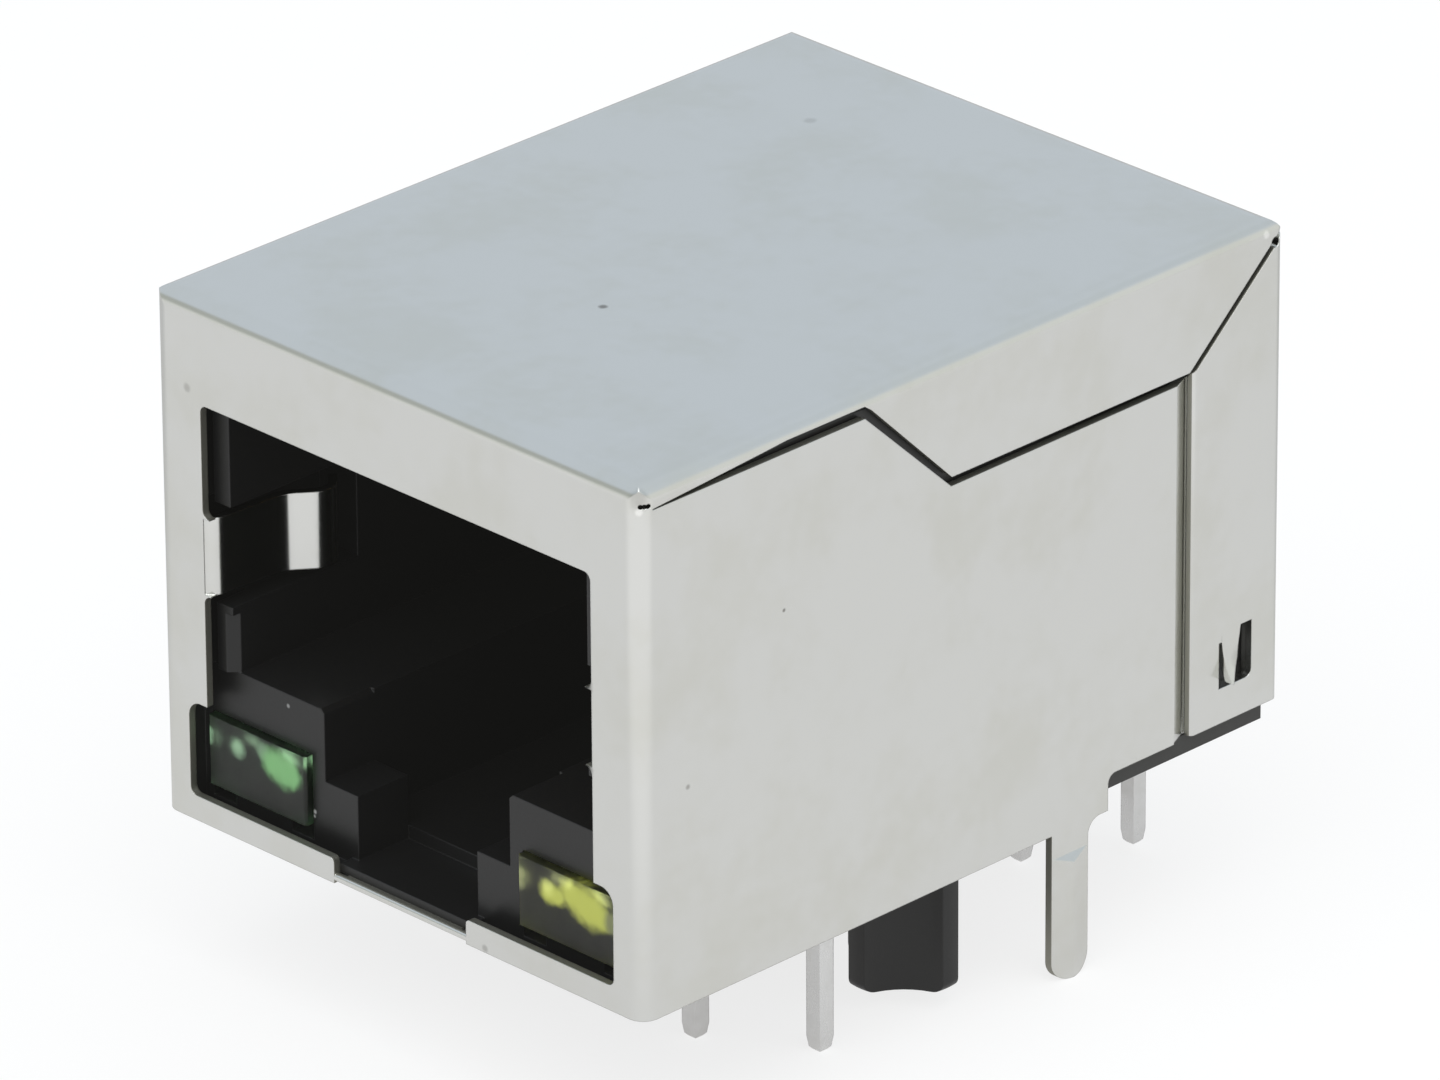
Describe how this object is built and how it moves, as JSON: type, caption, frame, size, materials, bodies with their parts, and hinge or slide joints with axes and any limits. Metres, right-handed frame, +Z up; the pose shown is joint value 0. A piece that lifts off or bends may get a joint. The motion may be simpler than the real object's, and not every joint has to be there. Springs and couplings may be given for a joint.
{
  "type": "rj45 board jack",
  "caption": "Shielded modular network jack for a printed board, latch side down, with two lower corner lamps, built-in coils, locating pegs and solder pins.",
  "frame": {"origin": "on the board's top surface, midway between the two locating pegs", "axes": "+Z up away from the board, +Y along the way the plug goes in, from the front face to the rear panel, +X to the right seen from the front"},
  "size_m": [0.0168, 0.0212, 0.0173],
  "materials": {
    "plated_shield": "bright tin or nickel plate, satin sheen",
    "black_plastic": "moulded, fine satin",
    "insert_plastic": "moulded, satin",
    "base_plastic": "moulded, satin",
    "contact_metal": "gold flash over spring bronze",
    "tinned_wire": "bright tin",
    "ferrite": "coated ferrite",
    "enamelled_wire": "enamelled copper",
    "board_laminate": "glass laminate with solder mask",
    "capacitor_body": "fired ceramic",
    "resistor_body": "glazed ceramic",
    "green_lens": "clear tinted resin, unlit",
    "yellow_lens": "clear tinted resin, unlit"
  },
  "bodies": {
    "root": {"shield": "plated_shield", "housing": "black_plastic", "contact_carrier": "insert_plastic", "contact_1": "contact_metal", "contact_2": "contact_metal", "contact_3": "contact_metal", "contact_4": "contact_metal", "contact_5": "contact_metal", "contact_6": "contact_metal", "contact_7": "contact_metal", "contact_8": "contact_metal", "pin_base": "base_plastic", "signal_pin_1": "tinned_wire", "signal_pin_2": "tinned_wire", "signal_pin_3": "tinned_wire", "signal_pin_4": "tinned_wire", "signal_pin_5": "tinned_wire", "signal_pin_6": "tinned_wire", "signal_pin_7": "tinned_wire", "signal_pin_8": "tinned_wire", "inner_board": "board_laminate", "coil_tray": "insert_plastic", "coil_core_1": "ferrite", "coil_core_2": "ferrite", "coil_core_3": "ferrite", "coil_core_4": "ferrite", "coil_winding_1": "enamelled_wire", "coil_winding_2": "enamelled_wire", "coil_winding_3": "enamelled_wire", "coil_winding_4": "enamelled_wire", "isolating_capacitor": "capacitor_body", "termination_resistor_1": "resistor_body", "termination_resistor_2": "resistor_body", "termination_resistor_3": "resistor_body", "termination_resistor_4": "resistor_body", "green_lamp": "green_lens", "yellow_lamp": "yellow_lens", "lamp_lead_1": "tinned_wire", "lamp_lead_2": "tinned_wire", "lamp_lead_3": "tinned_wire", "lamp_lead_4": "tinned_wire"}
  },
  "joints": []
}
